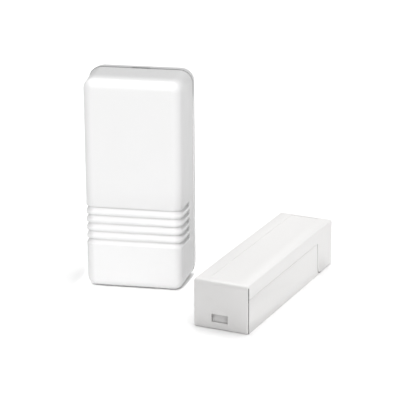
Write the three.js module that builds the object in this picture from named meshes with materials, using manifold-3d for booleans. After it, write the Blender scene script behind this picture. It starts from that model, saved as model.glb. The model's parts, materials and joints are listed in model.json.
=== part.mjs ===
// Wireless door contact: a battery transmitter with a reed switch, and the magnet unit beside it.
// Millimetres, +Z up. The transmitter stands upright with its ribbed front facing -Y.
// Each unit is drawn in a frame of its own and placed on the shared floor at the end.
import * as THREE from 'three';
import { mergeVertices } from 'three/addons/utils/BufferGeometryUtils.js';
import Module from 'manifold-3d';

const wasm = await Module();
wasm.setup();

// ---- driving dimensions ----
const GAP = 0.3;                    // clearance between neighbouring pieces
const PAST = 1;                     // how far a cutter reaches past the face it opens

// Transmitter: x across from the middle, y from the back face (0) to the front (-DEPTH), z from the foot.
const WIDTH = 38;
const HEIGHT = 78;
const DEPTH = 21;
const CORNER = 5;
const BACK_PLATE = 1.6;
const RIM_DEPTH = 4.1;
const RIM_INNER = 3.6;              // thickness of the rim measured in from the outline
const RIM_TAPER = 0.45;             // the rim draws in by this much towards the wall
const LIP_DEPTH = 6.2;
const LIP_WALL = 1.0;
const COVER_STEP = 0.35;            // the cover is set in from the rim by this much, but not at the foot
const COVER_WALL = 1.8;
const COVER_BACK = RIM_DEPTH + GAP;
const SIDE_DRAFT = 1.4;
const TOP_DRAFT = 0.6;
const FOOT_DRAFT = 0.4;
const FRONT_FILLET = 3.1;

// Five wrap-round grooves near the foot, each with a steep upper wall and a sloping lower one.
const GROOVE_COUNT = 5;
const GROOVE_TOP = 30.75;
const GROOVE_PITCH = 3.02;
const GROOVE_END = 9.2;             // how far in front of the back face the grooves stop
const GROOVE_PROFILE = [[0.05, -0.15], [-0.1, 0.7], [-0.45, 0.8], [-1, 0.66], [-1.55, 0.33], [-2.15, -0.1]];

// Pry notch in the top edge, across the seam. It runs back a little under the rim's top for a blade.
const NOTCH = { width: 6.5, foot: 77.45, rim: 3.4, under: 3.2, front: 4.6 };

const WALL_HOLES = [[-10, 69.3], [10.8, 9]];
const WALL_HOLE_RADIUS = 2.1;
const WIRE_HOLE = { x: -9.6, z: 53.2, radius: 2 };

const BOARD_BACK = RIM_DEPTH + GAP;
const BOARD_THICKNESS = 1.2;
const BOARD_FRONT = BOARD_BACK + BOARD_THICKNESS;
const BOARD_OUTLINE = [[6.6, 16], [15.1, 16], [15.1, 72.9], [14, 74], [-4.5, 74], [-4.5, 64], [-15.1, 64],
  [-15.1, 38.5], [6.6, 38.5]];
const BOARD_SCREWS = [[-12.2, 60.8], [12.2, 70.6]];
const BOARD_HOLE_RADIUS = 1.4;
const SCREW = { shank: 1.05, head: 2.2, headHeight: 1.5, slot: 0.6 };
const ON_BOARD = BOARD_FRONT + GAP; // nearest a component comes to the back face

// Cylindrical lithium cell standing upright in its cradle.
const CELL = { x: -3.7, depth: 10.3, radius: 7.8, foot: 8.4, top: 34.6, nub: 0.8, nubRadius: 3.2 };
const CRADLE = { halfWidth: 9, foot: 4.2, top: 37.6, back: 1.9, front: 9.5, endWall: 1.5, clearance: 0.3 };

const REED = { x: 12.6, glass: 1.3, bore: 0.8, foot: 29, top: 43, leadFoot: 21, leadTop: 51, lead: 0.3 };
const TAMPER = { x: -1.5, z: 56.2, half: 3.1, height: 3.5, bore: 1.8, plunger: 1.45, reach: 12 };
const TERMINAL = { left: -14.6, right: -4.6, foot: 40.5, top: 48.5, height: 8, screw: 1.6, pitch: 5 };

// Magnet unit: x across, y along from the near end, z up.
const MAG_WIDTH = 20.4;
const MAG_LENGTH = 76;
const MAG_HEIGHT = 17.4;
const MAG_WALL = 1.6;
const MAG_EDGE = 0.6;
const MAG_END_ROUND = 1.1;
const PANEL_FRONT = 0.75;           // near edge of the long side panels
const PANEL_HEIGHT = 12.2;
const PANEL_SEAM = 0.1;             // gap over the panels, finer than the others
const PANEL_FOOT = [[64.6, 0], [63.2, 0.5], [62.3, 1.5], [61.9, 3]];
const PANEL_BACK = 61.7;
const PANEL_BACK_GAP = 0.6;         // the gap behind the panels is the widest
const SLIT_TOP = 16.6;
const END_LIP = 0.4;                // thickness of the end wall where it laps the side panels
const COVER_SLIT = 0.9;             // where the slit in the cover ends, above the panels
const EDGE_BACK_CUT = 3.4;          // how far the slit's far edge slopes back towards the inside
const FAR_SLIT = { from: 75.1, to: 75.5, deep: 0.7 };
const WINDOW = { left: 6.7, right: 12.8, foot: 2.6, top: 5.5, wall: 0.3, pocket: 0.8 };
const TONGUE = { near: 0.6, far: 4.2, foot: 2.5, rampEnd: 1.2, top: 5.2 };
const TOP_PANEL = { left: 4.9, right: 15.5, near: 2.5, far: 74.3, depth: 0.12 };
const BAR = { left: 5.7, right: 14.7, near: 13, far: 63, foot: 2.1, top: 10.1 };
const MAG_HOLES = [7.5, 69];

// Where the two units stand on the floor.
const SENSOR_AT = new THREE.Vector3(-23.55, 16, 0);
const MAGNET_AT = new THREE.Vector3(3.945, -34.236, 0);
const MAGNET_TURN = THREE.MathUtils.degToRad(-14.5);

// ---- helpers ----
function solid(geometry) {
  const bare = geometry.clone();
  for (const attribute of Object.keys(bare.attributes)) {
    if (attribute !== 'position') bare.deleteAttribute(attribute);
  }
  const merged = mergeVertices(bare, 1e-4);
  return new wasm.Manifold(new wasm.Mesh({
    numProp: 3,
    vertProperties: new Float32Array(merged.attributes.position.array),
    triVerts: new Uint32Array(merged.index.array),
  }));
}

function block(x0, x1, y0, y1, z0, z1) {
  const shape = new THREE.BoxGeometry(Math.abs(x1 - x0), Math.abs(y1 - y0), Math.abs(z1 - z0));
  return solid(shape.translate((x0 + x1) / 2, (y0 + y1) / 2, (z0 + z1) / 2));
}

// A cylinder along Y from depth y0 to y1, or along Z from z0 to z1.
function pinY(x, z, radius, y0, y1, sides = 20) {
  const shape = new THREE.CylinderGeometry(radius, radius, Math.abs(y1 - y0), sides);
  return solid(shape.translate(x, (y0 + y1) / 2, z));
}

function pinZ(x, y, radius, z0, z1, sides = 20) {
  const shape = new THREE.CylinderGeometry(radius, radius, Math.abs(z1 - z0), sides).rotateX(Math.PI / 2);
  return solid(shape.translate(x, y, (z0 + z1) / 2));
}

// A closed body through rings of equal point count; every ring is convex.
function loft(rings) {
  const count = rings[0].length;
  const geometry = new THREE.BufferGeometry();
  geometry.setAttribute('position', new THREE.Float32BufferAttribute(rings.flat(2), 3));
  const faces = [];
  for (let ring = 0; ring + 1 < rings.length; ring += 1) {
    for (let i = 0; i < count; i += 1) {
      const a = ring * count + i;
      const b = ring * count + (i + 1) % count;
      faces.push(a, b, b + count, a, b + count, a + count);
    }
  }
  const last = (rings.length - 1) * count;
  for (let i = 1; i + 1 < count; i += 1) {
    faces.push(0, i + 1, i);
    faces.push(last, last + i, last + i + 1);
  }
  geometry.setIndex(faces);
  return solid(geometry);
}

// Rounded rectangle as points (across, up), counter-clockwise.
function roundedRectangle(left, right, foot, top, radius, perCorner = 5) {
  const points = [];
  const corners = [[right, top, 0], [left, top, 1], [left, foot, 2], [right, foot, 3]];
  for (const [across, up, quarter] of corners) {
    const centreAcross = across === right ? across - radius : across + radius;
    const centreUp = up === top ? up - radius : up + radius;
    for (let i = 0; i <= perCorner; i += 1) {
      const angle = (quarter + i / perCorner) * Math.PI / 2;
      points.push([centreAcross + radius * Math.cos(angle), centreUp + radius * Math.sin(angle)]);
    }
  }
  return points;
}

// A prism over a polygon in the XZ plane, from depth y0 back to y1 (y0 > y1).
function prism(points, y0, y1) {
  const shape = new THREE.Shape(points.map(([x, z]) => new THREE.Vector2(x, z)));
  const geometry = new THREE.ExtrudeGeometry(shape, { depth: y0 - y1, bevelEnabled: false });
  return solid(geometry.rotateX(Math.PI / 2).translate(0, y0, 0));
}

// A prism over a polygon in the YZ plane, from x0 to x1.
function sidePrism(points, x0, x1) {
  const shape = new THREE.Shape(points.map(([y, z]) => new THREE.Vector2(y, z)));
  const geometry = new THREE.ExtrudeGeometry(shape, { depth: x1 - x0, bevelEnabled: false });
  return solid(geometry.rotateX(Math.PI / 2).rotateZ(Math.PI / 2).translate(x0, 0, 0));
}

// A prism over a polygon in the XY plane, from z0 up to z1.
function uprightPrism(points, z0, z1) {
  const shape = new THREE.Shape(points.map(([x, y]) => new THREE.Vector2(x, y)));
  return solid(new THREE.ExtrudeGeometry(shape, { depth: z1 - z0, bevelEnabled: false }).translate(0, 0, z0));
}

function wire(points, radius, steps, sides = 6) {
  const section = new THREE.Shape();
  section.absarc(0, 0, radius, 0, Math.PI * 2);
  const path = new THREE.CatmullRomCurve3(points.map((point) => new THREE.Vector3(...point)));
  const options = { steps, extrudePath: path, curveSegments: sides, bevelEnabled: false };
  return solid(new THREE.ExtrudeGeometry(section, options));
}

function union(first, ...others) {
  return others.reduce((whole, other) => whole.add(other), first);
}

function cut(body, ...cutters) {
  return cutters.reduce((rest, cutter) => rest.subtract(cutter), body);
}

// ---- transmitter case ----
// How far the cover's sides have drawn in at a given depth, as a share of the full draft.
function draftShare(depth) {
  return (depth - COVER_BACK) / (DEPTH - COVER_BACK);
}

function caseRing(inset, depth, share = 0) {
  const left = -WIDTH / 2 + inset + SIDE_DRAFT * share;
  const foot = Math.max(inset - COVER_STEP, 0) + FOOT_DRAFT * Math.max(share, 0);
  const top = HEIGHT - inset - TOP_DRAFT * share;
  const radius = Math.max(CORNER - inset - SIDE_DRAFT * share, 0.3);
  return roundedRectangle(left, -left, foot, top, radius).map(([x, z]) => [x, -depth, z]);
}

function coverBody(inset, backDepth, fillet, steps) {
  const front = DEPTH - inset;
  const rings = [caseRing(COVER_STEP + inset, backDepth, draftShare(backDepth))];
  for (let i = 0; i <= steps; i += 1) {
    const angle = i / steps * Math.PI / 2;
    const depth = front - fillet + fillet * Math.sin(angle);
    const roundedIn = fillet * (1 - Math.cos(angle));
    rings.push(caseRing(COVER_STEP + inset + roundedIn, depth, draftShare(depth)));
  }
  return loft(rings);
}

// What is left of the cover's plan at one height when its skin is sunk by a depth. On the sides the floor
// of a groove runs straight back while the skin widens, so a groove is deepest where it ends.
function sunkPlan(sunk, z) {
  const halfWidth = (depth) => WIDTH / 2 - COVER_STEP - SIDE_DRAFT * draftShare(depth);
  const cornerDepth = DEPTH - FRONT_FILLET;
  const cornerSteps = 5;
  const floor = halfWidth(cornerDepth) - sunk;
  const points = [[floor, -GROOVE_END + PAST], [-floor, -GROOVE_END + PAST]];
  for (let side = -1; side <= 1; side += 2) {
    for (let i = 0; i <= cornerSteps; i += 1) {
      const angle = (side < 0 ? i : cornerSteps - i) / cornerSteps * Math.PI / 2;
      const radius = FRONT_FILLET - sunk;
      const depth = cornerDepth + radius * Math.sin(angle);
      const centre = halfWidth(cornerDepth + FRONT_FILLET * Math.sin(angle)) - FRONT_FILLET;
      points.push([side * (centre + radius * Math.cos(angle)), -depth]);
    }
  }
  return points.map(([x, y]) => [x, y, z]);
}

// The plan is carried on past both ends of the profile, so that no faces meet where the slab ends.
function grooveCutter() {
  const [top, proud] = GROOVE_PROFILE[0];
  const [foot, footProud] = GROOVE_PROFILE.at(-1);
  const levels = [[top + PAST, proud], ...GROOVE_PROFILE, [foot - PAST, footProud]];
  const core = loft(levels.reverse().map(([z, sunk]) => sunkPlan(sunk, z)));
  return block(-WIDTH, WIDTH, -GROOVE_END, -DEPTH - PAST, foot, top).subtract(core);
}

function pryNotch() {
  const { width, foot, rim, under, front } = NOTCH;
  const outline = [[-under, foot], [-rim, HEIGHT], [-rim, HEIGHT + PAST], [-front, HEIGHT + PAST],
    [-front, foot]];
  return sidePrism(outline, -width / 2, width / 2);
}

function sensorCover() {
  const shell = coverBody(0, COVER_BACK, FRONT_FILLET, 6)
    .subtract(coverBody(COVER_WALL, COVER_BACK - PAST, FRONT_FILLET - COVER_WALL, 2));
  const post = pinY(TAMPER.x, TAMPER.z, 1.6, -TAMPER.reach - GAP, -DEPTH + COVER_WALL / 2, 12);
  let cover = union(shell, post).subtract(pryNotch());
  const groove = grooveCutter();
  for (let i = 0; i < GROOVE_COUNT; i += 1) {
    cover = cover.subtract(groove.translate([0, 0, GROOVE_TOP - i * GROOVE_PITCH]));
  }
  return cover;
}

function sensorBase() {
  const chamfer = 0.35;
  const tapered = [caseRing(RIM_TAPER + chamfer, 0), caseRing(RIM_TAPER, chamfer), caseRing(0, RIM_DEPTH)];
  const outer = loft(tapered);
  const lip = loft([caseRing(RIM_INNER - LIP_WALL, BACK_PLATE), caseRing(RIM_INNER - LIP_WALL, LIP_DEPTH)]);
  const hollow = loft([caseRing(RIM_INNER, BACK_PLATE), caseRing(RIM_INNER, LIP_DEPTH + PAST)]);
  let base = cut(union(outer, lip), hollow, pryNotch());
  for (const [x, z] of BOARD_SCREWS) {
    const boss = pinY(x, z, 2.5, -BACK_PLATE + 0.5, -RIM_DEPTH);
    const pilot = pinY(x, z, SCREW.shank + GAP, -BACK_PLATE, -RIM_DEPTH - PAST, 12);
    base = base.add(boss).subtract(pilot);
  }
  for (const [x, z] of WALL_HOLES) {
    base = base.subtract(pinY(x, z, WALL_HOLE_RADIUS, PAST, -BACK_PLATE - PAST));
  }
  return base.subtract(pinY(WIRE_HOLE.x, WIRE_HOLE.z, WIRE_HOLE.radius, PAST, -BACK_PLATE - PAST));
}

// ---- transmitter electronics ----
function circuitBoard() {
  let board = prism(BOARD_OUTLINE, -BOARD_BACK, -BOARD_FRONT);
  for (const [x, z] of BOARD_SCREWS) {
    board = board.subtract(pinY(x, z, BOARD_HOLE_RADIUS, -BOARD_BACK + PAST, -BOARD_FRONT - PAST, 16));
  }
  return board;
}

function boardScrew([x, z]) {
  const headBack = ON_BOARD;
  const shank = pinY(x, z, SCREW.shank, -BACK_PLATE - GAP, -headBack - 0.2, 12);
  const head = pinY(x, z, SCREW.head, -headBack, -headBack - SCREW.headHeight);
  const slotDepth = headBack + SCREW.headHeight - 0.7;
  const half = SCREW.slot / 2;
  const along = block(x - 1.5, x + 1.5, -slotDepth, -DEPTH, z - half, z + half);
  const across = block(x - half, x + half, -slotDepth, -DEPTH, z - 1.5, z + 1.5);
  return cut(union(shank, head), along, across);
}

function batteryCradle() {
  const { halfWidth, foot, top, back, front, endWall, clearance } = CRADLE;
  const outer = block(CELL.x - halfWidth, CELL.x + halfWidth, -back, -front, foot, top);
  const trough = pinZ(CELL.x, -CELL.depth, CELL.radius + clearance, foot + endWall, top - endWall, 36);
  return outer.subtract(trough);
}

function lithiumCell() {
  const can = pinZ(CELL.x, -CELL.depth, CELL.radius, CELL.foot, CELL.top, 36);
  const nub = pinZ(CELL.x, -CELL.depth, CELL.nubRadius, CELL.top - 0.2, CELL.top + CELL.nub, 20);
  return can.add(nub);
}

// A bent strip: flat against the end wall, folded over the top of the cradle wall.
function positiveContact() {
  const half = 3.5;
  const thickness = 0.3;
  const leafTop = CRADLE.top - CRADLE.endWall - 0.15;
  const foldBack = -CRADLE.front - 0.2;
  const leaf = block(CELL.x - half, CELL.x + half, -4.5, foldBack - thickness, leafTop - thickness, leafTop);
  const fold = block(CELL.x - half, CELL.x + half, foldBack, foldBack - thickness, leafTop - thickness,
    CRADLE.top - 0.2);
  return leaf.add(fold);
}

function negativeSpring() {
  const turns = 2;
  const pitch = 0.78;
  const stepsPerTurn = 12;
  const points = [];
  for (let i = 0; i <= turns * stepsPerTurn; i += 1) {
    const angle = i / stepsPerTurn * Math.PI * 2;
    const radius = 4.2 - i / (turns * stepsPerTurn);
    const z = CRADLE.foot + CRADLE.endWall + 0.4 + pitch * i / stepsPerTurn;
    points.push([CELL.x + radius * Math.cos(angle), -CELL.depth + radius * Math.sin(angle), z]);
  }
  return wire(points, 0.25, turns * stepsPerTurn);
}

function reedGlass() {
  const y = -(ON_BOARD + REED.glass);
  const tube = pinZ(REED.x, y, REED.glass, REED.foot, REED.top);
  const chamber = pinZ(REED.x, y, REED.bore, REED.foot + 1.5, REED.top - 1.5, 12);
  const necks = pinZ(REED.x, y, REED.lead + 0.15, REED.foot - PAST, REED.top + PAST, 12);
  return cut(tube, chamber, necks);
}

// One nickel-iron reed: a flat blade inside the glass, a round lead outside, a leg bent to the board.
function reedBlade(up) {
  const y = -(ON_BOARD + REED.glass);
  const middle = (REED.foot + REED.top) / 2;
  const side = up ? -1 : 1;
  const leadEnd = up ? REED.leadTop : REED.leadFoot;
  const bladeEnd = middle + side * 1.2;
  const root = up ? REED.top - 2.2 : REED.foot + 2.2;
  const lead = pinZ(REED.x, y, REED.lead, Math.min(root, leadEnd), Math.max(root, leadEnd), 8);
  const blade = block(REED.x - 0.45, REED.x + 0.45, y + side * 0.12, y + side * 0.32,
    Math.min(root - 0.5, bladeEnd), Math.max(root + 0.5, bladeEnd));
  const leg = pinY(REED.x, leadEnd, REED.lead, y - REED.lead, -BOARD_FRONT - 0.1, 8);
  return union(lead, blade, leg);
}

function chip(x, z, width, height, thickness) {
  const pins = 4;
  const pin = { half: 0.3, reach: 0.9 };
  const top = -ON_BOARD - thickness;
  let body = block(x - width / 2, x + width / 2, -ON_BOARD, top, z - height / 2, z + height / 2);
  for (let i = 0; i < pins; i += 1) {
    const at = x + (i - (pins - 1) / 2) * width / (pins + 0.5);
    const reach = height / 2 + pin.reach;
    body = body.add(block(at - pin.half, at + pin.half, -BOARD_FRONT - 0.1, -ON_BOARD - 0.3, z - reach, z + reach));
  }
  return body;
}

function crystalCan(x, z) {
  const outline = roundedRectangle(x - 4.4, x + 4.4, z - 1.9, z + 1.9, 1.85);
  return prism(outline, -ON_BOARD, -ON_BOARD - 3.4);
}

function electrolyticCapacitor(x, z) {
  const can = pinY(x, z, 2.9, -ON_BOARD - 0.8, -ON_BOARD - 6.6, 24);
  const foot = block(x - 3.1, x + 3.1, -ON_BOARD, -ON_BOARD - 1, z - 3.1, z + 3.1);
  return can.add(foot);
}

function antennaWire() {
  const y = -BOARD_FRONT - 0.2;
  const high = -ON_BOARD - 8;
  return wire([[-2.6, y, 68], [-2.6, high + 1.2, 68.2], [-1.2, high, 69], [3, high, 70.6], [7, high, 69],
    [8.4, high + 1.2, 68.2], [8.4, y, 68]], 0.4, 24);
}

function tamperBody() {
  const { x, z, half, height, bore } = TAMPER;
  const body = block(x - half, x + half, -ON_BOARD, -ON_BOARD - height, z - half, z + half);
  return body.subtract(pinY(x, z, bore, -ON_BOARD - 0.5, -ON_BOARD - height - PAST, 16));
}

function tamperPlunger() {
  const { x, z, plunger, reach } = TAMPER;
  return pinY(x, z, plunger, -ON_BOARD - 0.8, -reach, 16);
}

function terminalScrewAt(index) {
  return [(TERMINAL.left + TERMINAL.right) / 2 + (index - 0.5) * TERMINAL.pitch, TERMINAL.foot + 5];
}

function terminalBlock() {
  const { left, right, foot, top, height, screw } = TERMINAL;
  let body = block(left, right, -ON_BOARD, -ON_BOARD - height, foot, top);
  for (let i = 0; i < 2; i += 1) {
    const [x, z] = terminalScrewAt(i);
    const pocket = pinY(x, z, screw + GAP, -ON_BOARD - 3, -ON_BOARD - height - PAST, 16);
    const entry = block(x - 1.3, x + 1.3, -ON_BOARD - 1, -ON_BOARD - 4, foot - PAST, z + 1);
    body = cut(body, pocket, entry);
  }
  return body;
}

function terminalScrew(index) {
  const [x, z] = terminalScrewAt(index);
  const front = ON_BOARD + TERMINAL.height - 0.8;
  const slot = block(x - 2, x + 2, -front + 0.9, -DEPTH, z - 0.3, z + 0.3);
  return pinY(x, z, TERMINAL.screw, -ON_BOARD - 3.3, -front, 16).subtract(slot);
}

// ---- magnet unit ----
// Rings from the far end to the near one, rounded in at both ends.
function magnetOuter() {
  const steps = 4;
  const half = [];
  for (let i = 0; i <= steps; i += 1) {
    const angle = i / steps * Math.PI / 2;
    half.push([MAG_END_ROUND * (1 - Math.sin(angle)), MAG_END_ROUND * (1 - Math.cos(angle))]);
  }
  const ring = (along, inset) => roundedRectangle(inset * 0.3, MAG_WIDTH - inset * 0.3, inset * 0.3,
    MAG_HEIGHT - inset, MAG_EDGE, 3).map(([x, z]) => [x, along, z]);
  const far = [...half].reverse().map(([along, inset]) => ring(MAG_LENGTH - along, inset));
  const near = half.map(([along, inset]) => ring(along, inset));
  return loft([...far, ...near]);
}

// Outline of the base's long side panel as (along, up) points.
function panelOutline() {
  return [[PANEL_FRONT, 0], ...PANEL_FOOT, [PANEL_BACK, PANEL_HEIGHT], [PANEL_FRONT, PANEL_HEIGHT]];
}

// The opening in the cover that the panel fills, a clearance larger and open at the foot.
function panelOpening() {
  const back = PANEL_BACK_GAP;
  const foot = PANEL_FOOT.map(([along, up]) => [along + back, up + GAP]);
  const top = PANEL_HEIGHT + PANEL_SEAM;
  return [[END_LIP, -PAST], [foot[0][0], -PAST], ...foot, [PANEL_BACK + back, top], [END_LIP, top]];
}

// Open slit between the end wall's lip and the side: its far edge slopes back, so it looks into the hollow.
function slitCutters(farEdge) {
  const right = [[MAG_WIDTH + PAST, END_LIP], [MAG_WIDTH + PAST, farEdge], [MAG_WIDTH, farEdge],
    [MAG_WIDTH - MAG_WALL, farEdge + EDGE_BACK_CUT], [MAG_WIDTH - MAG_WALL, END_LIP]];
  const left = right.map(([x, y]) => [MAG_WIDTH - x, y]).reverse();
  return [right, left].map((outline) => uprightPrism(outline, -PAST, SLIT_TOP));
}

function magnetCover() {
  const inside = block(MAG_WALL, MAG_WIDTH - MAG_WALL, MAG_WALL, MAG_LENGTH - MAG_WALL, -PAST,
    MAG_HEIGHT - MAG_WALL);
  let cover = cut(magnetOuter(), inside, ...slitCutters(COVER_SLIT));
  for (const [x0, x1] of [[-PAST, MAG_WALL + GAP], [MAG_WIDTH - MAG_WALL - GAP, MAG_WIDTH + PAST]]) {
    cover = cover.subtract(sidePrism(panelOpening(), x0, x1));
  }
  for (const [x0, x1] of [[-PAST, FAR_SLIT.deep], [MAG_WIDTH - FAR_SLIT.deep, MAG_WIDTH + PAST]]) {
    cover = cover.subtract(block(x0, x1, FAR_SLIT.from, FAR_SLIT.to, -PAST, SLIT_TOP));
  }
  const window = block(WINDOW.left, WINDOW.right, -PAST, MAG_WALL + PAST, WINDOW.foot, WINDOW.top);
  const pocket = block(WINDOW.left - WINDOW.pocket, WINDOW.right + WINDOW.pocket, WINDOW.wall,
    MAG_WALL + PAST, -PAST, WINDOW.top + WINDOW.pocket);
  const panel = block(TOP_PANEL.left, TOP_PANEL.right, TOP_PANEL.near, TOP_PANEL.far,
    MAG_HEIGHT - TOP_PANEL.depth, MAG_HEIGHT + PAST);
  return cut(cover, window, pocket, panel);
}

function magnetBase() {
  const inset = MAG_WALL + GAP;
  const floorTop = 1.8;
  const floor = block(inset, MAG_WIDTH - inset, inset, MAG_LENGTH - inset, 0, floorTop);
  const leftPanel = sidePrism(panelOutline(), 0, MAG_WALL);
  const rightPanel = sidePrism(panelOutline(), MAG_WIDTH - MAG_WALL, MAG_WIDTH);
  const webs = [[MAG_WALL / 2, inset + 1], [MAG_WIDTH - inset - 1, MAG_WIDTH - MAG_WALL / 2]]
    .map(([x0, x1]) => block(x0, x1, PANEL_FRONT + EDGE_BACK_CUT, PANEL_BACK - 2, 0, floorTop));
  const ramp = [[TONGUE.near, 0], [TONGUE.near, TONGUE.foot], [TONGUE.rampEnd, TONGUE.top],
    [TONGUE.far, TONGUE.top], [TONGUE.far, 0]];
  const tongue = sidePrism(ramp, WINDOW.left - WINDOW.pocket + GAP, WINDOW.right + WINDOW.pocket - GAP);
  const rib = { wall: 1.2, foot: 1, top: 6 };
  const left = BAR.left - GAP;
  const right = BAR.right + GAP;
  const ribs = [
    block(left - rib.wall, left, BAR.near, BAR.far, rib.foot, rib.top),
    block(right, right + rib.wall, BAR.near, BAR.far, rib.foot, rib.top),
    block(left - rib.wall, right + rib.wall, BAR.near - GAP - rib.wall, BAR.near - GAP, rib.foot, rib.top),
    block(left - rib.wall, right + rib.wall, BAR.far + GAP, BAR.far + GAP + rib.wall, rib.foot, rib.top),
  ];
  const sides = cut(union(leftPanel, rightPanel), ...slitCutters(PANEL_FRONT));
  const screwHoles = MAG_HOLES.map((along) => pinZ(MAG_WIDTH / 2, along, WALL_HOLE_RADIUS, -PAST, rib.top));
  return cut(union(floor, sides, ...webs, tongue, ...ribs), ...screwHoles);
}

function barMagnet() {
  const outline = roundedRectangle(BAR.left, BAR.right, BAR.foot, BAR.top, 0.8, 2);
  return loft([outline.map(([x, z]) => [x, BAR.far, z]), outline.map(([x, z]) => [x, BAR.near, z])]);
}

// ---- assembly ----
const finish = (color, roughness, metalness = 0) => ({ color, roughness, metalness });
const WHITE_COVER = finish(0xf3f3f2, 0.42);
const WHITE_BASE = finish(0xe9e9e7, 0.5);
const BOARD_GREEN = finish(0x1d5a35, 0.5);
const STEEL = finish(0xb9bcc0, 0.3, 1);
const NICKEL = finish(0xd2cfc6, 0.25, 1);
const BLACK_PLASTIC = finish(0x1b1b1d, 0.55);
const CELL_WRAP = finish(0x9fa6ad, 0.35, 0.6);
const GLASS = finish(0xa9c7b4, 0.08);
const COPPER = finish(0xc07a45, 0.35, 1);
const TERMINAL_GREEN = finish(0x2f7f4b, 0.5);
const ALUMINIUM = finish(0xc9ccd0, 0.3, 1);
const FERRITE = finish(0x3a3a3c, 0.6, 0.3);

const door_contact = new THREE.Group();
door_contact.name = 'door_contact';

function place(name, body, material, matrix) {
  const geometry = new THREE.BufferGeometry();
  const { vertProperties, triVerts } = body.getMesh();
  geometry.setAttribute('position', new THREE.Float32BufferAttribute(vertProperties, 3));
  geometry.setIndex([...triVerts]);
  geometry.applyMatrix4(matrix);
  geometry.computeVertexNormals();
  const mesh = new THREE.Mesh(geometry, new THREE.MeshStandardMaterial({ ...material, flatShading: true }));
  mesh.name = name;
  door_contact.add(mesh);
}

const sensorFrame = new THREE.Matrix4().makeTranslation(SENSOR_AT);
const magnetFrame = new THREE.Matrix4().makeTranslation(MAGNET_AT)
  .multiply(new THREE.Matrix4().makeRotationZ(MAGNET_TURN));

const sensorPieces = [
  ['sensor_base', sensorBase(), WHITE_BASE],
  ['sensor_cover', sensorCover(), WHITE_COVER],
  ['circuit_board', circuitBoard(), BOARD_GREEN],
  ['board_screw_left', boardScrew(BOARD_SCREWS[0]), STEEL],
  ['board_screw_right', boardScrew(BOARD_SCREWS[1]), STEEL],
  ['battery_cradle', batteryCradle(), BLACK_PLASTIC],
  ['lithium_cell', lithiumCell(), CELL_WRAP],
  ['cell_positive_contact', positiveContact(), NICKEL],
  ['cell_negative_spring', negativeSpring(), NICKEL],
  ['reed_switch_glass', reedGlass(), GLASS],
  ['reed_blade_lower', reedBlade(false), NICKEL],
  ['reed_blade_upper', reedBlade(true), NICKEL],
  ['processor_chip', chip(2.6, 46.2, 8, 6.4, 1.3), BLACK_PLASTIC],
  ['crystal_can', crystalCan(-9.8, 55.6), ALUMINIUM],
  ['electrolytic_capacitor', electrolyticCapacitor(5.4, 56.4), ALUMINIUM],
  ['radio_chip', chip(2.6, 64.2, 5, 3.4, 1.1), BLACK_PLASTIC],
  ['antenna_wire', antennaWire(), COPPER],
  ['tamper_switch_body', tamperBody(), BLACK_PLASTIC],
  ['tamper_plunger', tamperPlunger(), WHITE_BASE],
  ['terminal_block', terminalBlock(), TERMINAL_GREEN],
  ['terminal_screw_left', terminalScrew(0), STEEL],
  ['terminal_screw_right', terminalScrew(1), STEEL],
];
const magnetPieces = [
  ['magnet_base', magnetBase(), WHITE_BASE],
  ['magnet_cover', magnetCover(), WHITE_COVER],
  ['bar_magnet', barMagnet(), FERRITE],
];
for (const [name, body, material] of sensorPieces) place(name, body, material, sensorFrame);
for (const [name, body, material] of magnetPieces) place(name, body, material, magnetFrame);

export default door_contact;
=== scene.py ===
"""Looks of the wireless door contact: an upright transmitter and its magnet unit on a plain studio floor."""
import json
import math

import bmesh
import bpy
from mathutils import Matrix, Vector


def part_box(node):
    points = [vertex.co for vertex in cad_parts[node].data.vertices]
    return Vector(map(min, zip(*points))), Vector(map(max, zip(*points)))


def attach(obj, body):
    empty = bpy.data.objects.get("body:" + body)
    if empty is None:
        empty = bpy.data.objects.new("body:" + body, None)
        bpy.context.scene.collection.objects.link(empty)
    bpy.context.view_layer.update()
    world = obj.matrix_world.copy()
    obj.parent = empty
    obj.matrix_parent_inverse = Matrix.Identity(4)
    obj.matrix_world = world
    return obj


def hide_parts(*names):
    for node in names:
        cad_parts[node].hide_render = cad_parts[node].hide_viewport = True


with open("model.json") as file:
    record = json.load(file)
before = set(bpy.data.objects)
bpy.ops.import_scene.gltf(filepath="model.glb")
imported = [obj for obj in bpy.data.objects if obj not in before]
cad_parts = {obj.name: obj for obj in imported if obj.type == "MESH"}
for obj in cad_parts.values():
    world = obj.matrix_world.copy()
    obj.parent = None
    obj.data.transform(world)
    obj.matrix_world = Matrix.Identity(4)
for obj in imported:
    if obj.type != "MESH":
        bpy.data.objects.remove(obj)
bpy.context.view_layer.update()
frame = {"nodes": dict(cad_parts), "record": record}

MM = 0.001
nodes = frame["nodes"]

# ---------------------------------------------------------------- driving sizes, in millimetres
COVER_WALL = 1.8
CORNER_RADIUS = 5.0
FRONT_FILLET = 3.1
SIDE_DRAFT = 1.4
TOP_DRAFT = 0.6
FOOT_DRAFT = 0.4
COVER_STEP = 0.35
COVER_BACK = 4.4            # depth at which the cover's draft starts, in front of the back face
COVER_EDGE = 4.11           # depth of the cover's rear edge, close against the rim
GROOVE_COUNT = 5
GROOVE_TOP = 30.75
GROOVE_PITCH = 3.02
GROOVE_END = 9.2            # the grooves stop at this depth on both sides
NOTCH_HALF_WIDTH = 3.25
NOTCH_FRONT = 4.6
COVER_EDGE_ROUND = 0.06     # rounding of the cover's rear edge
COVER_TRAVEL = 40.0         # how far the cover is pulled off; the front light reaches that far forward

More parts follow.
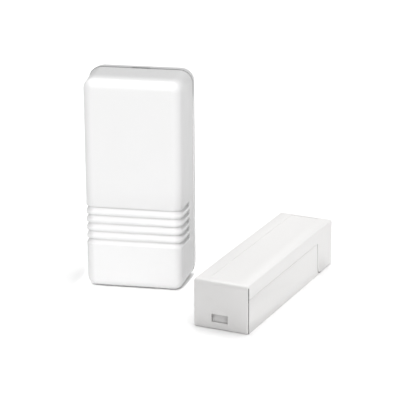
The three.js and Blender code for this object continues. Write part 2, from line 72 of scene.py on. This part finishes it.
# One groove as (height from its upper lip, depth): a steep wall under the lip, then a long slope out.
GROOVE_SHAPE = [
    (0.06, 0.0), (0.01, 0.03), (-0.02, 0.12), (-0.06, 0.45), (-0.1, 0.65), (-0.18, 0.75), (-0.35, 0.79),
    (-0.6, 0.76), (-0.9, 0.66), (-1.2, 0.53), (-1.45, 0.39), (-1.7, 0.22), (-1.9, 0.09), (-2.0, 0.03),
    (-2.12, 0.0),
]

# ---------------------------------------------------------------- mesh steps and edges, in millimetres
FILLET_STEPS = 12
INNER_FILLET_STEPS = 4
CORNER_STEPS = 8
PLAIN_ROWS = [6.0, 11.0, 16.0, 38.0, 46.0, 54.0, 62.0, 70.0]    # the skin's rows outside the grooves
PLAIN_COLUMNS = [6.0, 9.0, 12.0]                                # and its columns outside the notch
NOTCH_EDGE_COLUMNS = (-0.12, -0.04, 0.04, 0.12)                 # columns on both sides of its edge

# The post inside the cover that presses the tamper plunger: its place, and its end as (radius, along).
POST = {"x": -1.5, "z": 56.2, "end": 12.3, "radius": 1.6, "fillet": 0.5, "sides": 32}
POST_END = [(0.02, 0), (1.35, 0), (1.53, 0.07), (POST["radius"], 0.25)]
POST_FILLET_STEPS = 5

WELD_DISTANCE = 0.0005      # points of the shell this close become one
SLIVER_AREA = 1e-7          # square millimetres; smaller faces are dropped
CAD_WELD_DISTANCE = 0.001
EDGES = {"magnet_base": 0.05, "magnet_cover": 0.06, "sensor_base": 0.12}   # edge rounding of CAD nodes
PLAIN_EDGE = 0.1                                                            # and of the others
THIN_NODES = ("antenna_wire", "cell_negative_spring", "reed_blade_lower", "reed_blade_upper")   # not rounded

# ---------------------------------------------------------------- angles, in degrees
CAD_SMOOTH_ANGLE = 32.0
SHELL_SMOOTH_ANGLE = 35.0
FLAT_ANGLE = 0.6            # faces closer than this to one plane are one face
ROUNDED_ANGLE = 40.0        # edges sharper than this are rounded
FRONT_LIGHT_SPREAD = 1.0
CAMERA_AZIMUTH = 10.97
CAMERA_ELEVATION = 18.71
CAMERA_ROLL = -0.39

# ---------------------------------------------------------------- studio, in metres
CAMERA_AT = (0.12728, -0.65759, 0.26062)
CAMERA_LENS = 180.0         # millimetres, on a 36 mm sensor
FLOOR_REACH = 3.0
FLOOR_WHITE = (0.97, 0.97, 0.97)
WORLD_STRENGTH = 0.3
FRONT_LIGHT_AWAY = 0.3
FRONT_LIGHT_SIDES = 0.004   # how much wider than the transmitter the front light is
FRONT_LIGHT_ABOVE = 0.003   # and how far above its top it starts


# ---------------------------------------------------------------- materials
def principled(name, color, roughness, metallic=0.0):
    material = bpy.data.materials.new(name)
    material.use_nodes = True
    shader = material.node_tree.nodes["Principled BSDF"]
    shader.inputs["Base Color"].default_value = (*color, 1.0)
    shader.inputs["Roughness"].default_value = roughness
    shader.inputs["Metallic"].default_value = metallic
    return material, material.node_tree, shader


def object_noise(tree, scale, detail=3.0, stretch=(1.0, 1.0, 1.0)):
    """Noise in the object's own metres, stretched along an axis where its factor is small."""
    place = tree.nodes.new("ShaderNodeTexCoord")
    mapping = tree.nodes.new("ShaderNodeMapping")
    mapping.inputs["Scale"].default_value = stretch
    noise = tree.nodes.new("ShaderNodeTexNoise")
    noise.inputs["Scale"].default_value = scale
    noise.inputs["Detail"].default_value = detail
    tree.links.new(place.outputs["Object"], mapping.inputs["Vector"])
    tree.links.new(mapping.outputs["Vector"], noise.inputs["Vector"])
    return noise.outputs["Fac"]


def ramp(tree, value, stops):
    """A colour ramp over value; stops are (position, (r, g, b))."""
    node = tree.nodes.new("ShaderNodeValToRGB")
    elements = node.color_ramp.elements
    while len(elements) < len(stops):
        elements.new(0.5)
    for element, (position, color) in zip(elements, stops):
        element.position = position
        element.color = (*color, 1.0)
    tree.links.new(value, node.inputs["Fac"])
    return node.outputs["Color"]


def remap(tree, value, low, high):
    node = tree.nodes.new("ShaderNodeMapRange")
    node.inputs["To Min"].default_value = low
    node.inputs["To Max"].default_value = high
    node.inputs["From Min"].default_value = 0.3
    node.inputs["From Max"].default_value = 0.7
    tree.links.new(value, node.inputs["Value"])
    return node.outputs["Result"]


def bump(tree, shader, heights):
    """Chains bumps; heights are (value, strength, distance in millimetres)."""
    normal = None
    for value, strength, distance in heights:
        node = tree.nodes.new("ShaderNodeBump")
        node.inputs["Strength"].default_value = strength
        node.inputs["Distance"].default_value = distance * MM
        tree.links.new(value, node.inputs["Height"])
        if normal is not None:
            tree.links.new(normal, node.inputs["Normal"])
        normal = node.outputs["Normal"]
    tree.links.new(normal, shader.inputs["Normal"])


def shaded(color, factor):
    return tuple(channel * factor for channel in color)


def moulded_plastic(name, color, roughness, grain=1.0):
    """Satin injection moulding: fine spark-eroded grain, slow flow waves and faint handling marks."""
    material, tree, shader = principled(name, color, roughness)
    clouds = object_noise(tree, scale=45.0)
    marks = object_noise(tree, scale=900.0, detail=2.0, stretch=(1.0, 1.0, 0.12))
    fine = object_noise(tree, scale=3800.0, detail=2.0)
    waves = object_noise(tree, scale=70.0, detail=1.0)
    tint = ramp(tree, clouds, [(0.3, shaded(color, 0.985)), (0.7, color)])
    tree.links.new(tint, shader.inputs["Base Color"])
    tree.links.new(remap(tree, marks, roughness - 0.05, roughness + 0.07), shader.inputs["Roughness"])
    shader.inputs["Specular IOR Level"].default_value = 0.45
    bump(tree, shader, [(waves, 0.25, 0.05), (fine, 0.18 * grain, 0.02)])
    return material


def worn_metal(name, color, roughness, streak=(1.0, 1.0, 1.0)):
    """Plated or drawn metal with streaked roughness and light tarnish."""
    material, tree, shader = principled(name, color, roughness, 1.0)
    streaks = object_noise(tree, 2600.0, 4.0, streak)
    tarnish = object_noise(tree, 350.0, 3.0)
    tint = ramp(tree, tarnish, [(0.32, shaded(color, 0.72)), (0.62, color)])
    tree.links.new(tint, shader.inputs["Base Color"])
    tree.links.new(remap(tree, streaks, roughness * 0.7, roughness * 1.5), shader.inputs["Roughness"])
    bump(tree, shader, [(streaks, 0.2, 0.01)])
    return material


def solder_mask(name):
    """Green laminate: tracks are slightly raised lighter lines under the mask, over a faint glass weave."""
    color = (0.012, 0.105, 0.045)
    material, tree, shader = principled(name, color, 0.35)
    place = tree.nodes.new("ShaderNodeTexCoord")
    cells = tree.nodes.new("ShaderNodeTexVoronoi")
    cells.distance = "MANHATTAN"
    cells.feature = "F1"
    cells.inputs["Scale"].default_value = 230.0
    tree.links.new(place.outputs["Object"], cells.inputs["Vector"])
    bands = tree.nodes.new("ShaderNodeMath")
    bands.operation = "PINGPONG"
    bands.inputs[1].default_value = 0.16
    tree.links.new(cells.outputs["Distance"], bands.inputs[0])
    tracks = tree.nodes.new("ShaderNodeMapRange")
    tracks.inputs["From Min"].default_value = 0.06
    tracks.inputs["From Max"].default_value = 0.075
    tree.links.new(bands.outputs[0], tracks.inputs["Value"])
    weave = object_noise(tree, 1500.0, 1.0)
    tint = ramp(tree, tracks.outputs["Result"], [(0.0, (0.03, 0.19, 0.085)), (1.0, color)])
    tree.links.new(tint, shader.inputs["Base Color"])
    tree.links.new(remap(tree, weave, 0.28, 0.42), shader.inputs["Roughness"])
    shader.inputs["Coat Weight"].default_value = 0.3
    bump(tree, shader, [(tracks.outputs["Result"], 0.4, -0.03), (weave, 0.1, 0.02)])
    return material


def cell_sleeve(name):
    """Shrink sleeve of the cell: plain silver grey with one darker band, and the bare can at both ends."""
    bare_foot = (0.6, 0.61, 0.62)
    sleeve = (0.4, 0.43, 0.48)
    band = (0.045, 0.07, 0.16)
    bare_top = (0.62, 0.62, 0.63)
    material, tree, shader = principled(name, (0.42, 0.45, 0.5), 0.3)
    place = tree.nodes.new("ShaderNodeTexCoord")
    split = tree.nodes.new("ShaderNodeSeparateXYZ")
    tree.links.new(place.outputs["Object"], split.inputs["Vector"])
    lowest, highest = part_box("lithium_cell")
    share = tree.nodes.new("ShaderNodeMapRange")
    share.inputs["From Min"].default_value = lowest.z
    share.inputs["From Max"].default_value = highest.z
    tree.links.new(split.outputs["Z"], share.inputs["Value"])
    bands = ramp(tree, share.outputs["Result"], [
        (0.0, bare_foot), (0.045, bare_foot), (0.05, sleeve), (0.66, sleeve), (0.67, band), (0.93, band),
        (0.94, bare_top), (1.0, bare_top)])
    tree.links.new(bands, shader.inputs["Base Color"])
    wrinkles = object_noise(tree, 420.0, 2.0, (1.0, 1.0, 0.35))
    tree.links.new(remap(tree, wrinkles, 0.22, 0.4), shader.inputs["Roughness"])
    shader.inputs["Metallic"].default_value = 0.35
    shader.inputs["Coat Weight"].default_value = 0.4
    bump(tree, shader, [(wrinkles, 0.3, 0.04)])
    return material


def reed_glass(name):
    material, tree, shader = principled(name, (0.8, 0.95, 0.86), 0.03)
    shader.inputs["Transmission Weight"].default_value = 1.0
    shader.inputs["IOR"].default_value = 1.5
    flow = object_noise(tree, 500.0, 1.0, (1.0, 1.0, 0.2))
    tree.links.new(remap(tree, flow, 0.01, 0.08), shader.inputs["Roughness"])
    bump(tree, shader, [(flow, 0.15, 0.02)])
    return material


def ferrite(name):
    """Ground ferrite: dark grey with grinding lines and chipped light specks."""
    color = (0.035, 0.035, 0.037)
    material, tree, shader = principled(name, color, 0.5, 0.25)
    lines = object_noise(tree, 1800.0, 3.0, (1.0, 0.08, 1.0))
    chips = object_noise(tree, 800.0, 2.0)
    tint = ramp(tree, chips, [(0.6, color), (0.7, (0.11, 0.11, 0.115))])
    tree.links.new(tint, shader.inputs["Base Color"])
    tree.links.new(remap(tree, lines, 0.35, 0.65), shader.inputs["Roughness"])
    bump(tree, shader, [(lines, 0.35, 0.02), (chips, 0.2, 0.03)])
    return material


# The two whites are one plastic. The transmitter cover's copy is made darker than the magnet unit's, and
# that darkening is painted shade; only the cool and warm tints are the plastics' own.
WHITE_COOL_PAINTED_SHADE = moulded_plastic("cool_white_moulding_darkened_as_painted_shade", (0.6, 0.599, 0.6), 0.4)
WHITE_WARM = moulded_plastic("warm_white_satin_moulding", (0.78, 0.772, 0.765), 0.4)
MATERIALS = {
    "magnet_base": WHITE_WARM,
    "magnet_cover": WHITE_WARM,
    "cover_plastic": WHITE_COOL_PAINTED_SHADE,
    "base_plastic": moulded_plastic("grey_white_satin_moulding", (0.53, 0.53, 0.532), 0.45),
    "plunger_plastic": moulded_plastic("smooth_white_acetal", (0.78, 0.78, 0.76), 0.3, 0.3),
    "black_plastic": moulded_plastic("black_moulding", (0.018, 0.018, 0.02), 0.45, 2.0),
    "terminal_plastic": moulded_plastic("green_moulding", (0.03, 0.21, 0.08), 0.42, 1.5),
    "board_laminate": solder_mask("green_solder_mask"),
    "screw_steel": worn_metal("zinc_plated_steel", (0.62, 0.63, 0.66), 0.28),
    "nickel_plate": worn_metal("bright_nickel", (0.72, 0.69, 0.63), 0.2),
    "copper_wire": worn_metal("bare_copper", (0.78, 0.36, 0.18), 0.3),
    "aluminium_can": worn_metal("drawn_aluminium", (0.74, 0.75, 0.77), 0.3, (1.0, 0.1, 1.0)),
    "cell_can": cell_sleeve("cell_sleeve"),
    "reed_glass": reed_glass("reed_tube_glass"),
    "magnet_ferrite": ferrite("ground_ferrite"),
}


# ---------------------------------------------------------------- CAD nodes that stay
def dress(name, material, edge):
    """Gives a CAD node its material, joins its split corners and rounds its sharp edges a little."""
    node = nodes[name]
    node.data.materials.clear()
    node.data.materials.append(material)
    weld = node.modifiers.new("join_corners", "WELD")
    weld.merge_threshold = CAD_WELD_DISTANCE * MM
    if edge > 0:
        flat = node.modifiers.new("one_face_per_plane", "DECIMATE")
        flat.decimate_type = "DISSOLVE"
        flat.angle_limit = math.radians(FLAT_ANGLE)
        rounding = node.modifiers.new("edge_rounding", "BEVEL")
        rounding.width = edge * MM
        rounding.segments = 2
        rounding.limit_method = "ANGLE"
        rounding.angle_limit = math.radians(ROUNDED_ANGLE)
        rounding.use_clamp_overlap = True
        rounding.harden_normals = True
    node.data.shade_smooth()
    node.data.set_sharp_from_angle(angle=math.radians(CAD_SMOOTH_ANGLE))


def dress_all():
    slots = {entry["node"]: entry["material_slot"] for entry in frame["record"]["subparts"]}
    for name, slot in slots.items():
        material = MATERIALS.get(name) or MATERIALS[slot]
        dress(name, material, 0.0 if name in THIN_NODES else EDGES.get(name, PLAIN_EDGE))


# ---------------------------------------------------------------- structured shells
class CaseSkin:
    """Rings of a rounded box that share their rows and columns, so heights line up from ring to ring."""

    def __init__(self, half_width, depth, top, rows, columns):
        self.half_width = half_width
        self.depth = depth
        self.top = top
        self.rows = rows
        self.columns = columns

    def extent(self, inset, share):
        """Right edge, foot and top of a ring drawn in by an inset and a share of the draft."""
        right = self.half_width - inset - SIDE_DRAFT * share
        foot = max(inset - COVER_STEP, 0.0) + FOOT_DRAFT * max(share, 0.0)
        return right, foot, self.top - inset - TOP_DRAFT * share

    def ring(self, inset, depth, radius, share=0.0):
        """Points (across, depth, up) of one ring, from the foot of the right side round to it again."""
        right, foot, top = self.extent(inset, share)
        across = [right - radius, *reversed(self.columns), radius - right]
        up = [foot + radius, *self.rows, top - radius]
        points = [(right, z) for z in up]
        points += self.arc(right - radius, top - radius, radius, 0)
        points += [(x, top) for x in across]
        points += self.arc(radius - right, top - radius, radius, 1)
        points += [(-right, z) for z in reversed(up)]
        points += self.arc(radius - right, foot + radius, radius, 2)
        points += [(x, foot) for x in reversed(across)]
        points += self.arc(right - radius, foot + radius, radius, 3)
        return [(x, depth, z) for x, z in points]

    def arc(self, across, up, radius, quarter):
        """Inner points of one rounded corner, counted in quarter turns from the right."""
        points = []
        for step in range(1, CORNER_STEPS):
            angle = (quarter + step / CORNER_STEPS) * math.pi / 2
            points.append((across + radius * math.cos(angle), up + radius * math.sin(angle)))
        return points

    def cap(self, inset, depth, share):
        """Grid of points that closes a ring whose corner radius is nothing."""
        right, foot, top = self.extent(inset, share)
        across = [-right, *self.columns, right]
        up = [foot, *self.rows, top]
        return [[(x, depth, z) for x in across] for z in up]


def mesh_from_rings(name, sleeves, caps):
    """Quads between the neighbouring rings of each sleeve, and the grids. The post's sleeve stays open."""
    work = bmesh.new()
    for rings in sleeves:
        laid = [[work.verts.new(point) for point in ring] for ring in rings]
        for lower, upper in zip(laid, laid[1:]):
            for i in range(len(lower)):
                j = (i + 1) % len(lower)
                work.faces.new((lower[i], lower[j], upper[j], upper[i]))
    for grid in caps:
        sheet = [[work.verts.new(point) for point in row] for row in grid]
        for low, high in zip(sheet, sheet[1:]):
            for a, b, c, d in zip(low, low[1:], high[1:], high):
                work.faces.new((a, b, c, d))
    bmesh.ops.remove_doubles(work, verts=work.verts, dist=WELD_DISTANCE)
    slivers = [face for face in work.faces if face.calc_area() < SLIVER_AREA]
    bmesh.ops.delete(work, geom=slivers, context="FACES_ONLY")
    bmesh.ops.recalc_face_normals(work, faces=work.faces)
    mesh = bpy.data.meshes.new(name)
    work.to_mesh(mesh)
    work.free()
    return mesh


def smooth_step(value, low, high):
    """Runs from 0 to 1 between two values, level at both ends."""
    t = min(max((value - low) / (high - low), 0.0), 1.0)
    return t * t * (3 - 2 * t)


def groove_depth(z):
    """How deep the skin is sunk at a height; nothing between the grooves."""
    for index in range(GROOVE_COUNT):
        below = z - (GROOVE_TOP - index * GROOVE_PITCH)
        for (high, depth_high), (low, depth_low) in zip(GROOVE_SHAPE, GROOVE_SHAPE[1:]):
            if low <= below <= high:
                return depth_low + (depth_high - depth_low) * (below - low) / (high - low)
    return 0.0


def cover_rows():
    rows = list(PLAIN_ROWS)
    for index in range(GROOVE_COUNT):
        rows += [GROOVE_TOP - index * GROOVE_PITCH + below for below, _ in GROOVE_SHAPE]
    return sorted(rows)


def cover_columns():
    half = [NOTCH_HALF_WIDTH + offset for offset in NOTCH_EDGE_COLUMNS] + PLAIN_COLUMNS
    return sorted([-x for x in half] + [0.0] + half)


def draft_share(at, depth):
    """How much of the draft the sides have taken at a depth, of a case this deep in all."""
    return (at - COVER_BACK) / (depth - COVER_BACK)


def skin_rings(skin, inset, fillet, stations, steps):
    """Rings along the side stations, then over the front fillet, and the grid that closes the front.

    Each ring comes with its turn: 0 where the skin faces sideways, a quarter turn where it faces forwards.
    """
    least_radius = 0.02

    def ring(drawn, at, last=False):
        share = draft_share(at, skin.depth)
        radius = 0.0 if last else max(CORNER_RADIUS - drawn - SIDE_DRAFT * share, least_radius)
        return skin.ring(drawn, at, radius, share)

    rings = [(ring(COVER_STEP + inset, at), 0.0) for at in stations]
    front = skin.depth - inset
    for step in range(steps + 1):
        turn = step / steps * math.pi / 2
        at = front - fillet + fillet * math.sin(turn)
        rings.append((ring(COVER_STEP + inset + fillet * (1 - math.cos(turn)), at, step == steps), turn))
    return rings, skin.cap(COVER_STEP + inset + fillet, front, draft_share(front, skin.depth))


def notched(point, skin):
    """Draws the cover's rear edge forward where the pry notch crosses it."""
    x, depth, z = point
    reach = NOTCH_FRONT + 0.5       # the skin in front of this depth stays as it is
    if z > skin.top / 2 and depth < reach and abs(x) < NOTCH_HALF_WIDTH:
        depth += (NOTCH_FRONT - COVER_EDGE) * (reach - depth) / (reach - COVER_EDGE)
    return x, depth, z


def carve(point, turn, skin):
    """Sinks a point of the skin into a groove. On the sides the groove's floor runs straight back."""
    end_wall = 0.03                 # the groove opens out over this depth
    shallow = 0.1                   # and takes up the skin's widening over this first part of its own depth
    x, depth, z = point
    sunk = groove_depth(z)
    if sunk > 0 and depth > GROOVE_END:
        fillet_start = skin.depth - FRONT_FILLET
        widened = SIDE_DRAFT * (draft_share(fillet_start, skin.depth) - draft_share(depth, skin.depth))
        opened = smooth_step(depth, GROOVE_END, GROOVE_END + end_wall)
        sideways = sunk * math.cos(turn) + max(widened, 0.0) * smooth_step(sunk, 0.0, shallow)
        x -= math.copysign(sideways * opened, x)
        depth -= sunk * math.sin(turn)
    return notched((x, depth, z), skin)


def finish_piece(name, mesh, material, body, replaced):
    mesh.materials.append(material)
    mesh.shade_smooth()
    mesh.set_sharp_from_angle(angle=math.radians(SHELL_SMOOTH_ANGLE))
    piece = bpy.data.objects.new(name, mesh)
    bpy.context.scene.collection.objects.link(piece)
    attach(piece, body)
    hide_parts(replaced)


def sensor_place():
    """Turns the case's own millimetres (across, depth from the back, up) into the frame's metres."""
    lowest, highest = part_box("sensor_base")
    middle = (lowest.x + highest.x) / 2
    return Matrix(((MM, 0, 0, middle), (0, -MM, 0, highest.y), (0, 0, MM, lowest.z), (0, 0, 0, 1)))


def post_rings(wall):
    """The tamper post: a blunt end, a plain shaft and a fillet at the wall. Its two ends are open."""
    fillet = POST["fillet"]
    profile = [(radius, POST["end"] + along) for radius, along in POST_END]
    for step in range(POST_FILLET_STEPS + 1):
        turn = step / POST_FILLET_STEPS * math.pi / 2
        radius = POST["radius"] + fillet * (1 - math.cos(turn))
        profile.append((radius, wall - fillet * (1 - math.sin(turn))))
    circle = [step / POST["sides"] * math.tau for step in range(POST["sides"])]
    return [[(POST["x"] + radius * math.cos(a), at, POST["z"] + radius * math.sin(a)) for a in circle]
            for radius, at in profile]


def cover_piece():
    lowest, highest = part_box("sensor_base")
    depth = (highest.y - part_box("sensor_cover")[0].y) / MM
    half_width = (highest.x - lowest.x) / MM / 2
    skin = CaseSkin(half_width, depth, (highest.z - lowest.z) / MM, cover_rows(), cover_columns())
    notch_stations = [4.4, 4.7, 5.0, 5.2]
    groove_stations = [GROOVE_END + step for step in (-0.1, 0.0, 0.03, 0.1, 1.5)]
    outer_stations = [COVER_EDGE + COVER_EDGE_ROUND, *notch_stations, 7.0, *groove_stations, 13.5]
    inner_stations = [COVER_EDGE, *notch_stations, 10.0]
    outer, front_cap = skin_rings(skin, 0.0, FRONT_FILLET, outer_stations, FILLET_STEPS)
    inner, inner_cap = skin_rings(skin, COVER_WALL, FRONT_FILLET - COVER_WALL, inner_stations,
                                  INNER_FILLET_STEPS)
    rear_inset = COVER_STEP + COVER_EDGE_ROUND
    rear = skin.ring(rear_inset, COVER_EDGE, CORNER_RADIUS - rear_inset)
    rings = [[notched(point, skin) for point in ring] for ring, _ in reversed(inner)]
    rings += [[carve(point, 0.0, skin) for point in rear]]
    rings += [[carve(point, turn, skin) for point in ring] for ring, turn in outer]
    front_cap = [[carve(point, math.pi / 2, skin) for point in row] for row in front_cap]
    mesh = mesh_from_rings("transmitter_cover_shell", [rings, post_rings(depth - COVER_WALL)],
                           [front_cap, inner_cap])
    mesh.transform(sensor_place())
    mesh.flip_normals()
    # the cover takes the white darkened as painted shade
    finish_piece("transmitter_cover_shell", mesh, WHITE_COOL_PAINTED_SHADE, "transmitter_cover",
                 "sensor_cover")


# ---------------------------------------------------------------- stage, light and camera
def stage_floor():
    mesh = bpy.data.meshes.new("studio_floor")
    reach = FLOOR_REACH
    corners = [(-reach, -reach, 0), (reach, -reach, 0), (reach, reach, 0), (-reach, reach, 0)]
    mesh.from_pydata(corners, [], [(0, 1, 2, 3)])
    material, _, shader = principled("pale_floor", FLOOR_WHITE, 0.9)
    shader.inputs["Specular IOR Level"].default_value = 0.1
    mesh.materials.append(material)
    floor = bpy.data.objects.new("studio_floor", mesh)
    bpy.context.scene.collection.objects.link(floor)


def direction(azimuth, elevation):
    """Unit vector towards a light: azimuth 0 is in front of the object (-Y), positive to the right."""
    a = math.radians(azimuth)
    e = math.radians(elevation)
    return Vector((math.sin(a) * math.cos(e), -math.cos(a) * math.cos(e), math.sin(e)))


def front_softbox(name, elevation, irradiance):
    """A softbox with a tight grid, as wide as the transmitter, so that nothing beside it is lifted."""
    lowest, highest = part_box("sensor_base")
    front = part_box("sensor_cover")[0].y
    middle = (lowest.x + highest.x) / 2
    low = Vector((middle, front - COVER_TRAVEL * MM, 0))
    high = Vector((middle, front, highest.z + FRONT_LIGHT_ABOVE))
    away = direction(0, elevation)
    turn = away.to_track_quat("Z", "Y")
    data = bpy.data.lights.new(name, "AREA")
    data.shape = "RECTANGLE"
    data.size = highest.x - lowest.x + FRONT_LIGHT_SIDES
    data.size_y = (high - low).dot(turn @ Vector((0, 1, 0)))
    data.energy = irradiance * data.size * data.size_y
    data.spread = math.radians(FRONT_LIGHT_SPREAD)
    light = bpy.data.objects.new(name, data)
    light.location = (low + high) / 2 + away * FRONT_LIGHT_AWAY
    light.rotation_euler = turn.to_euler()
    light.visible_camera = False
    bpy.context.scene.collection.objects.link(light)


def sun_light(name, azimuth, elevation, strength, spread):
    data = bpy.data.lights.new(name, "SUN")
    data.energy = strength
    data.angle = math.radians(spread)
    light = bpy.data.objects.new(name, data)
    light.rotation_euler = direction(azimuth, elevation).to_track_quat("Z", "Y").to_euler()
    bpy.context.scene.collection.objects.link(light)


def studio():
    world = bpy.data.worlds.new("studio_world")
    world.use_nodes = True
    background = world.node_tree.nodes["Background"]
    background.inputs["Color"].default_value = (1.0, 1.0, 1.0, 1.0)
    background.inputs["Strength"].default_value = WORLD_STRENGTH
    bpy.context.scene.world = world
    sun_light("overhead_softbox", azimuth=180, elevation=76, strength=2.56, spread=60)
    sun_light("side_softbox", azimuth=50, elevation=30, strength=0.85, spread=50)
    front_softbox("front_softbox", elevation=37, irradiance=2.4)
    bpy.context.scene.view_settings.view_transform = "Standard"


def camera():
    azimuth = math.radians(CAMERA_AZIMUTH)
    elevation = math.radians(CAMERA_ELEVATION)
    roll = math.radians(CAMERA_ROLL)
    right = Vector((math.cos(azimuth), math.sin(azimuth), 0))
    up = Vector((-math.sin(azimuth) * math.sin(elevation), math.cos(azimuth) * math.sin(elevation),
                 math.cos(elevation)))
    forward = up.cross(right)
    right, up = right * math.cos(roll) + up * math.sin(roll), up * math.cos(roll) - right * math.sin(roll)
    data = bpy.data.cameras.new("studio_camera")
    data.lens = CAMERA_LENS
    data.sensor_width = 36.0
    data.clip_end = 20.0
    view = bpy.data.objects.new("studio_camera", data)
    view.matrix_world = Matrix((
        (right.x, up.x, -forward.x, CAMERA_AT[0]),
        (right.y, up.y, -forward.y, CAMERA_AT[1]),
        (right.z, up.z, -forward.z, CAMERA_AT[2]),
        (0, 0, 0, 1)))
    bpy.context.scene.collection.objects.link(view)
    bpy.context.scene.camera = view


camera()
studio()
stage_floor()
dress_all()
cover_piece()
